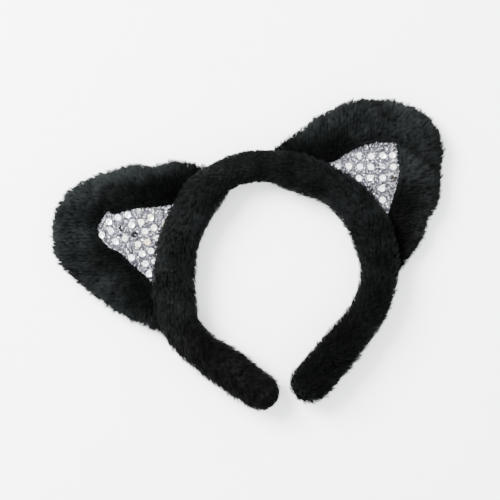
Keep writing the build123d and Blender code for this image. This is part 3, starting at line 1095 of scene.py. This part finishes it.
def make_fray(ear, edge, middle, rng):
    """Frayed yarn ends round the net's cut edge."""
    start = edge[rng.integers(0, len(edge), FRAY_COUNT)] + rng.normal(size=(FRAY_COUNT, 2)) * FRAY_STRAY
    outward = unit(unit(start - middle) + FRAY_SCATTER * rng.normal(size=(FRAY_COUNT, 2)))
    lengths = np.interp(rng.random(FRAY_COUNT) ** 2, (0, 1), FRAY_LENGTHS)
    ends = start + outward * lengths[:, None]
    a = ear.to_row(start, ear.net_height(start) + 0.1)
    b = ear.to_row(ends, ear.net_height(ends) + rng.uniform(*FRAY_LIFTS, FRAY_COUNT))
    across = unit(np.cross(b - a, rng.normal(size=(FRAY_COUNT, 3)))) * FRAY_HALF_WIDTH
    ends = np.stack([a - across, a + across, b], axis=1)
    return yarn(f"{ear.side}_net_fray", ends, [[0, 1, 2]], rng.uniform(0.3, 1.0, FRAY_COUNT))


def net_normals(ear, uv, step=0.5):
    """The net's upward directions, from how its height changes on each side of a place."""
    slopes = [
        (ear.net_height(uv + way) - ear.net_height(uv - way)) / (2 * step) for way in step * np.eye(2)
    ]
    return unit(ear.turned(-np.column_stack(slopes), 1.0))


def disc_mesh(centres, normals, turns):
    """Cupped round sequins with a hole, each turned its own way: points and faces."""
    count = len(centres)
    spare = np.where(np.abs(normals[:, :1]) > 0.9, [[0, 1, 0]], [[1, 0, 0]])
    first = unit(np.cross(normals, spare))
    second = np.cross(normals, first)
    points = np.empty((count, len(SEQUIN_SECTION), SEQUIN_RING, 3))
    for i, (share, rise) in enumerate(SEQUIN_SECTION):
        radius = share * SEQUIN_RADIUS if share else SEQUIN_HOLE
        for j, angle in enumerate(circle(SEQUIN_RING)):
            turned = angle + turns
            flat = first * np.cos(turned)[:, None] + second * np.sin(turned)[:, None]
            points[:, i, j] = centres + flat * radius + normals * rise
    return points.reshape(-1, 3), repeated_faces(count, len(SEQUIN_SECTION), SEQUIN_RING)[:, ::-1]


def make_sequins(ear, rng):
    """Sequins on a turned square net, each tilted its own way, and the thread that holds each."""
    side = ear.side
    turn = SEQUIN_NET_TURN[side]
    grid = range(-SEQUIN_NET_REACH, SEQUIN_NET_REACH + 1)
    steps = np.array(list(product(grid, repeat=2))) * SEQUIN_PITCH[side]
    spin = np.array([heading(turn), heading(turn + 90)])
    places = SEQUIN_START[side] + steps @ spin
    places = places + rng.normal(size=places.shape) * SEQUIN_STRAY
    clear = inside_outline(places, ear.triangle) & (segment_distance(places, ear.hem) > SEQUIN_EDGE_GAP)
    clear &= ear.from_band(places) > 0.5
    clear &= rng.random(len(places)) > LOST_SEQUINS
    places = places[clear]
    count = len(places)
    lean = SEQUIN_LEAN + LOOSE_SEQUIN_LEAN * (rng.random(count) > 1 - LOOSE_SEQUINS)
    normals = unit(net_normals(ear, places) + lean[:, None] * rng.normal(size=(count, 3)))
    centres = ear.to_row(places, ear.net_height(places) + SEQUIN_LIFT)
    tones = toned(rng.random(count), len(SEQUIN_SECTION) * SEQUIN_RING)
    points, faces = disc_mesh(centres, normals, rng.uniform(0, 6, count))
    sequins = new_piece(f"{side}_sequin_discs", points, faces, SEQUIN, tones)
    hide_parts(f"{side}_sequins")

    # Thread from each hole over the sequin's edge.
    across = unit(np.cross(normals, with_z(rays(rng.uniform(0, 2 * math.pi, count)))))
    middle = centres + across * 0.95 + normals * 0.12
    return sequins, stitches(
        f"{side}_sequin_thread", f"{side}_sequin_threads", SEQUIN_STITCH, middle, across, normals
    )


def along_line(line, start, gap, pitch):
    """Places at a pitch along a line, from start to a gap before its end, and its directions there."""
    lengths = distances_along(line)
    at = np.arange(start, lengths[-1] - gap, pitch)
    spot = blend_rows(at, lengths, line)
    return spot, unit(blend_rows(at + 0.5, lengths, line) - spot)


def make_hem(ear, middle):
    """Stitches that hold the net's edge down."""
    spot, ahead = along_line(ear.hem, 1.5, 0, HEM_PITCH)
    inward = unit(middle - spot)
    spot = spot + inward * 0.4
    seen = ear.from_band(spot) > 1
    spot = spot[seen]
    slant = ear.turned(unit(inward[seen] + 0.5 * ahead[seen]))
    return stitches(
        f"{ear.side}_net_hem_stitches", f"{ear.side}_triangle_stitches", HEM_STITCH,
        ear.to_row(spot, ear.net_height(spot) + 0.15), unit(slant), np.tile(UP, (len(spot), 1)),
    )


def make_base_thread(ear, bend):
    """Hand stitches along the ear's join with the sleeve, at the front and at the back."""
    side = ear.side
    distances, line, along, outward = LINES[side]
    at = np.arange(20, distances[-1] - 20, BASE_PITCH)
    index = np.searchsorted(distances, at)
    spot = ear.to_plane(line[index] + outward[index] * (tube_radius(side, at) + 0.9)[:, None])
    inside = inside_outline(spot, ear.rim) & (segment_distance(spot, ear.rim) > 1.5)
    spot, index = spot[inside], index[inside]
    slant = unit(with_z(outward[index] + 0.4 * along[index]))
    ups = np.tile(UP, (len(index), 1))
    front = ear.to_row(spot, EAR_SEAM_Z + ear.front_height(spot) + 0.5)
    back = ear.to_row(spot, EAR_SEAM_Z - ear.back_height(spot) - 0.2)
    bend(stitches(
        f"{side}_ear_base_thread", f"{side}_ear_base_stitches", BASE_STITCH,
        np.concatenate([front, back]), np.concatenate([slant, slant]), np.concatenate([ups, -ups]),
    ))


def make_edge_thread(ear, bend):
    """The closing seam round the ear's edge."""
    side = ear.side
    spot, ahead = along_line(ear.rim[1:-1], 6, 6, EDGE_PITCH)
    seen = ear.from_band(spot) > 1
    spot, ahead = spot[seen], ahead[seen]
    bend(stitches(
        f"{side}_ear_edge_thread", f"{side}_ear_edge_seam", EDGE_STITCH,
        ear.to_row(spot, EAR_SEAM_Z), unit(ear.turned(ahead, 0.3)),
        ear.turned(ahead[:, ::-1] * [1, -1]),
    ))


for band_side in SIDES:
    make_sleeve(band_side)
    make_seam(band_side, f"{band_side}_sleeve_seam", f"{band_side}_arm", 32, LINES[band_side][0][-1] - 3)
    if band_side == "left":
        make_seam(band_side, "crown_sleeve_seam", "crown", 2, 26)
    make_end_gather(band_side)
    make_ear(band_side)

for node_name, node in frame["nodes"].items():
    inner = PLASTIC if node_name.endswith("_strip") else FOAM if node_name.endswith("_padding") else None
    if inner:
        for place in node.material_slots:
            place.material = inner


# ---- floor, light and camera, in metres

FLOOR_HALF = 3.0
# Lamps that aim at the origin: name, place, size and power.
LAMPS = (("key", (-0.8, 0.6, 0.9), 0.7, 105), ("fill", (0.9, -0.5, 1.1), 1.2, 5))
SKY_COLOUR = (0.96, 0.98, 1.0, 1)
SKY_STRENGTH = 3.6
CAMERA_LENS = 85
CAMERA_SENSOR = 36
VIEW_WIDTH = 0.315
CAMERA_AIM = Vector((0.0011, 0.0051, 0.012))


def look(thing, place, aim):
    bpy.context.scene.collection.objects.link(thing)
    thing.location = place
    thing.rotation_mode = "QUATERNION"
    thing.rotation_quaternion = (Vector(aim) - Vector(place)).to_track_quat("-Z", "Y")


def make_floor():
    corners = np.array([[-1, -1, 0], [1, -1, 0], [1, 1, 0], [-1, 1, 0]]) * FLOOR_HALF / MM
    material, tree, surface = shader("pale_floor", Roughness=0.7)
    paint(tree, surface, noise(tree, 60), [(0.3, grey(0.93)), (0.7, grey(0.95))])
    new_piece("floor", corners, [[0, 1, 2], [0, 2, 3]], material)


make_floor()
for lamp_name, lamp_place, lamp_size, lamp_power in LAMPS:
    light = bpy.data.lights.new(lamp_name, "AREA")
    light.size = lamp_size
    light.energy = lamp_power
    look(bpy.data.objects.new(lamp_name, light), lamp_place, (0, 0, 0))

world = bpy.data.worlds.new("studio")
world.use_nodes = True
sky = world.node_tree.nodes["Background"].inputs
sky["Color"].default_value = SKY_COLOUR
sky["Strength"].default_value = SKY_STRENGTH
bpy.context.scene.world = world

camera_data = bpy.data.cameras.new("camera")
camera_data.lens = CAMERA_LENS
camera_data.sensor_width = CAMERA_SENSOR
camera = bpy.data.objects.new("camera", camera_data)
look(camera, CAMERA_AIM + Vector((0, 0, VIEW_WIDTH * CAMERA_LENS / CAMERA_SENSOR)), CAMERA_AIM)
bpy.context.scene.camera = camera
